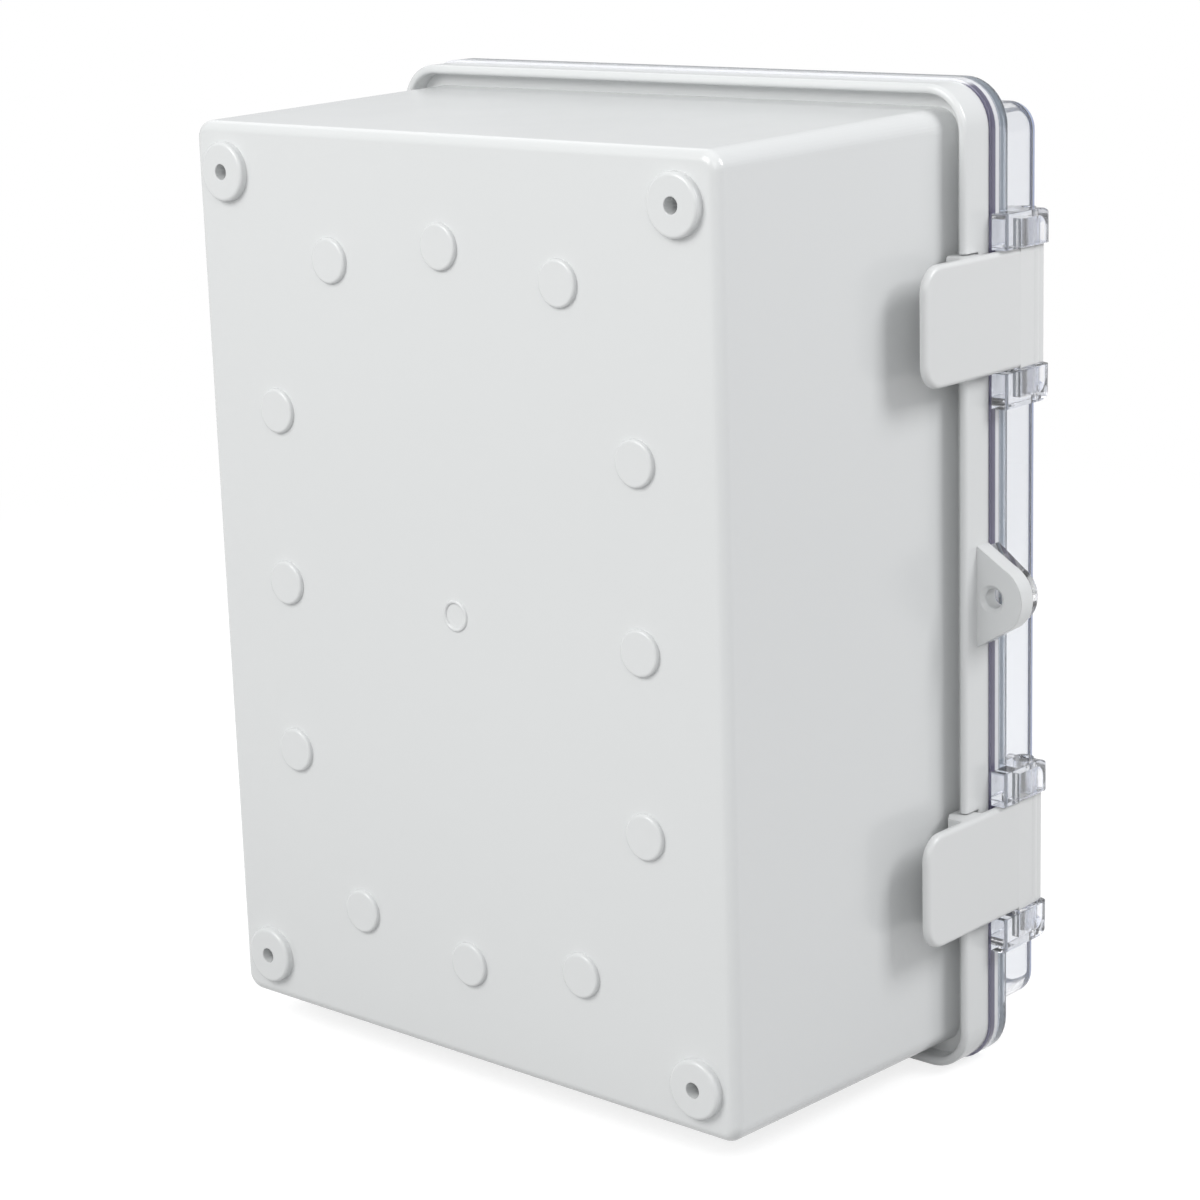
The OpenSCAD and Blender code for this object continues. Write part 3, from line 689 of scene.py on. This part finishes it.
def cross_screw(name, r, length, pitch, head_r, head_h):
    """Pan-head screw about Z, its head on +Z.

    The shank's radius is r less a triangle wave of the height over the pitch plus the share of a turn,
    times a ramp from the tip. The head's height falls with the square of the distance from its axis. It is
    lower at its rim, and where the smaller of x and y is under the arm's half width and the larger one
    under its reach.
    """
    steps, turns, rings = 36, 110, 26
    thread_depth, tip_length, tip_share = 0.12, 1.5, 0.25
    fall, arm_half, arm_reach, arm_depth, rim_drop = 0.45, 0.16, 0.62, 0.55, 0.15
    angle = np.linspace(0, 2 * np.pi, steps, endpoint=False)
    cosine, sine = np.cos(angle), np.sin(angle)
    z = np.linspace(-length, -0.0002, turns)[:, None]
    taper = np.clip((z + length) / (tip_length * r), tip_share, 1)
    ripple = thread_depth * r * np.abs(((z / pitch + angle / (2 * np.pi)) % 1) * 2 - 1)
    shank_r = np.minimum(r, (r - ripple) * taper)
    shank = np.stack([shank_r * cosine, shank_r * sine, z + 0 * angle], -1)
    tip = np.broadcast_to([0, 0, -length], (1, steps, 3))
    rim = np.stack([head_r * cosine, head_r * sine, 0 * angle], -1)[None]
    inward = np.linspace(0, 1, rings)[:, None]
    reach = head_r * (1 - inward)
    dome = head_h * (1 - (reach / head_r) ** 2 * fall) - head_h * rim_drop * (inward == 0)
    x, y = reach * cosine, reach * sine
    arm = np.minimum(np.abs(x), np.abs(y)) < arm_half * head_r
    arm &= np.maximum(np.abs(x), np.abs(y)) < arm_reach * head_r
    crown = np.stack([x, y, dome - arm_depth * head_h * arm], -1)
    return surface(name, np.concatenate([tip, shank, rim, crown]), False, True)


def move_mesh(piece, origin, axis):
    """Turns a piece that was drawn about +Z along axis and moves it to origin, in its mesh."""
    turn = Vector((0, 0, 1)).rotation_difference(Vector(axis)).to_matrix().to_4x4()
    piece.data.transform(Matrix.Translation(Vector(origin)) @ turn)
    return piece


class ENCLOSURE_OT_screws(bpy.types.Operator):
    """Make the hinge leaf screws and the mounting plate screws with crossed recesses"""

    bl_idname = "enclosure.screws"
    bl_label = "Screws"

    def execute(self, context):
        pitch = context.scene.enclosure_sizes.thread_pitch
        zinc = ground_steel("screw_zinc", (0.60, 0.61, 0.62), rough=0.22, stretch=(1, 1, 1), scale=380.0)

        low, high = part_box("hinge_screws")
        x, head_r = (low.x + high.x) / 2, (high.x - low.x) / 2
        back = high.y - LEAF_HEAD_H
        top, bottom = high.z - head_r, low.z + head_r
        made = [
            move_mesh(
                cross_screw("s%d" % k, LEAF_SHANK_R, back - low.y, pitch, head_r, LEAF_HEAD_H), (x, back, z), (0, 1, 0)
            )
            for k, z in enumerate((top, top - LEAF_SPREAD, bottom + LEAF_SPREAD, bottom))
        ]
        screws = tidy_shell(joined("leaf_screws", made), sharp=0.7)
        fit_piece(screws, "base_body", "screw_zinc", zinc, "hinge_screws")

        low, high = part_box("plate_screws")
        front = low.y + PLATE_HEAD_H
        made = [
            move_mesh(
                cross_screw("p%d%d" % (sx, sz), PLATE_SHANK_R, high.y - front, pitch, PLATE_HEAD_R, PLATE_HEAD_H),
                (sx * (high.x - PLATE_HEAD_R), front, sz * (high.z - PLATE_HEAD_R)), (0, -1, 0),
            )
            for sx in (-1, 1) for sz in (-1, 1)
        ]
        screws = tidy_shell(joined("plate_fixing_screws", made), sharp=0.7)
        fit_piece(screws, "base_body", "screw_zinc", zinc, "plate_screws")
        return {"FINISHED"}


def front_centres(node):
    """Centres, in X and Z, of the rings of points on the front face of a CAD node.

    Points closer to each other than 2.2 insert radii lie on one ring.
    """
    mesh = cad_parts[node].data
    points = np.empty(len(mesh.vertices) * 3, np.float32)
    mesh.vertices.foreach_get("co", points)
    points = points.reshape(-1, 3)
    left = points[np.abs(points[:, 1] - frame_y(node, "low")) < 1e-5][:, [0, 2]]
    centres = []
    while len(left):
        near = np.linalg.norm(left - left[0], axis=1) < 2.2 * INSERT_R
        centres.append((left[near].max(0) + left[near].min(0)) / 2)
        left = left[~near]
    return centres


def knurled_insert(name, origin, depth, ridge, pitch):
    """Open threaded sleeve that runs from origin along +Y.

    Two bands of ridges lean opposite ways round the outer wall: the radius falls by up to ridge with a
    triangle wave of the angle plus or minus the height. The bore's radius is a triangle wave of the height.
    """
    steps, wall, turns = 60, 38, 60
    waves_per_radian, waves_per_metre = 5, 900
    outer_r = np.concatenate([INSERT_FACE_R, [INSERT_R], np.full(wall, INSERT_R), [INSERT_TIP_R]])
    outer_z = np.concatenate([[0, 0, 0.0003], np.linspace(0.0005, depth - 0.0004, wall), [depth]])

    def knurl(r, z, angle):
        slant = angle * waves_per_radian + np.sign(z - depth / 2) * z * waves_per_metre
        wave = np.abs((slant % 1) * 2 - 1)
        return -ridge * (r > INSERT_R - 0.00001) * wave

    inner_z = np.linspace(depth, 0, turns)
    thread = INSERT_THREAD_R + INSERT_THREAD_H * np.abs(((inner_z / pitch) % 1) * 2 - 1)
    grid = np.concatenate([turned(outer_r, outer_z, steps, knurl), turned(thread, inner_z, steps)])
    return surface(name, placed(grid, origin, (0, 1, 0)), True, True)


class ENCLOSURE_OT_inner_fittings(bpy.types.Operator):
    """Finish the mounting plate and make the knurled brass inserts"""

    bl_idname = "enclosure.inner_fittings"
    bl_label = "Plate and inserts"

    def execute(self, context):
        colours, sizes = context.scene.enclosure_finishes, context.scene.enclosure_sizes
        wear(["mounting_plate"], galvanised_sheet("plate_zinc", colours.plate_zinc))
        low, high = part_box("boss_inserts")
        made = [
            knurled_insert("i%d" % k, (x, low.y, z), high.y - low.y, sizes.knurl_depth, sizes.thread_pitch)
            for k, (x, z) in enumerate(front_centres("boss_inserts"))
        ]
        inserts = tidy_shell(joined("knurled_inserts", made), sharp=0.8)
        brass = ground_steel("insert_brass", colours.brass, rough=0.24, stretch=(1, 1, 1), scale=500.0)
        fit_piece(inserts, "base_body", "insert_brass", brass, "boss_inserts")
        return {"FINISHED"}


def pale_floor():
    """Flat sheet 12 m square, half a millimetre under the part."""
    spread = np.linspace(-6, 6, 13)
    x, y = np.meshgrid(spread, spread, indexing="ij")
    floor = surface("floor", np.stack([x, y, np.full_like(x, cad_box[0].z - 0.0005)], -1))
    paper = paper_floor("pale_paper", (0.38, 0.38, 0.38), lift=0.77, clear_radius=0.45, fade_radius=1.3)
    floor.data.materials.append(paper)


def studio_world(scene):
    """Even sky light, in front of a white backdrop that mirrored rays see faintly."""
    scene.world = bpy.data.worlds.new("studio")
    scene.world.use_nodes = True
    sky = Graph(scene.world.node_tree)
    glow = sky.node("ShaderNodeBackground", None, {"Color": (0.97, 0.985, 1.0, 1), "Strength": 0.53})
    white = sky.node("ShaderNodeBackground", None, {"Color": (1, 1, 1, 1), "Strength": 1.0})
    both = sky.node("ShaderNodeMixShader", None, {0: sky.backdrop_rays(0.15), 1: glow, 2: white})
    sky.node("ShaderNodeOutputWorld", None, {"Surface": both})


def soft_lamps(scene):
    """Square area lamps, each turned to its target."""
    for name, place, target, power, size, colour in SOFTBOXES:
        lamp = bpy.data.lights.new(name, "AREA")
        lamp.shape, lamp.size, lamp.energy, lamp.color = "SQUARE", size, power, colour
        holder = bpy.data.objects.new(name, lamp)
        scene.collection.objects.link(holder)
        holder.location = place
        holder.rotation_euler = (Vector(target) - Vector(place)).to_track_quat("-Z", "Y").to_euler()


def view_camera(scene):
    """Camera at the rear latch corner, a little above the part."""
    lens = bpy.data.cameras.new("view")
    lens.sensor_fit = "HORIZONTAL"
    lens.sensor_width = 36.0
    lens.lens = VIEW_LENS
    lens.clip_start, lens.clip_end = 0.05, 40.0
    camera = bpy.data.objects.new("view", lens)
    scene.collection.objects.link(camera)
    basis = Matrix([Vector(axis) for axis in VIEW_AXES]).transposed().to_4x4()
    camera.matrix_world = Matrix.Translation(Vector(VIEW_PLACE)) @ basis
    scene.camera = camera


class ENCLOSURE_OT_stage(bpy.types.Operator):
    """Set up the pale floor, the soft lights and the camera"""

    bl_idname = "enclosure.stage"
    bl_label = "Stage"

    def execute(self, context):
        scene = context.scene
        pale_floor()
        studio_world(scene)
        soft_lamps(scene)
        view_camera(scene)
        scene.view_settings.view_transform = "Standard"
        return {"FINISHED"}


class ENCLOSURE_PT_dressing(bpy.types.Panel):
    """Lists the finishes, the sizes and the steps"""

    bl_label = "Hinged enclosure"
    bl_idname = "ENCLOSURE_PT_dressing"
    bl_space_type = "VIEW_3D"
    bl_region_type = "UI"
    bl_category = "Enclosure"

    def draw(self, context):
        for group in (context.scene.enclosure_finishes, context.scene.enclosure_sizes):
            box = self.layout.box()
            for field in group.__annotations__:
                box.prop(group, field)
        for step in STEPS:
            self.layout.operator(step.bl_idname)


STEPS = (
    ENCLOSURE_OT_stage,
    ENCLOSURE_OT_mouldings,
    ENCLOSURE_OT_lid,
    ENCLOSURE_OT_seal,
    ENCLOSURE_OT_pins,
    ENCLOSURE_OT_screws,
    ENCLOSURE_OT_inner_fittings,
)
CLASSES = (EnclosureFinishes, EnclosureSizes, *STEPS, ENCLOSURE_PT_dressing)


def register():
    for cls in CLASSES:
        bpy.utils.register_class(cls)
    bpy.types.Scene.enclosure_finishes = PointerProperty(type=EnclosureFinishes)
    bpy.types.Scene.enclosure_sizes = PointerProperty(type=EnclosureSizes)


def unregister():
    del bpy.types.Scene.enclosure_sizes
    del bpy.types.Scene.enclosure_finishes
    for cls in reversed(CLASSES):
        bpy.utils.unregister_class(cls)


def main():
    register()
    for step in STEPS:
        group, name = step.bl_idname.split(".")
        getattr(getattr(bpy.ops, group), name)()


if __name__ == "__main__":
    main()
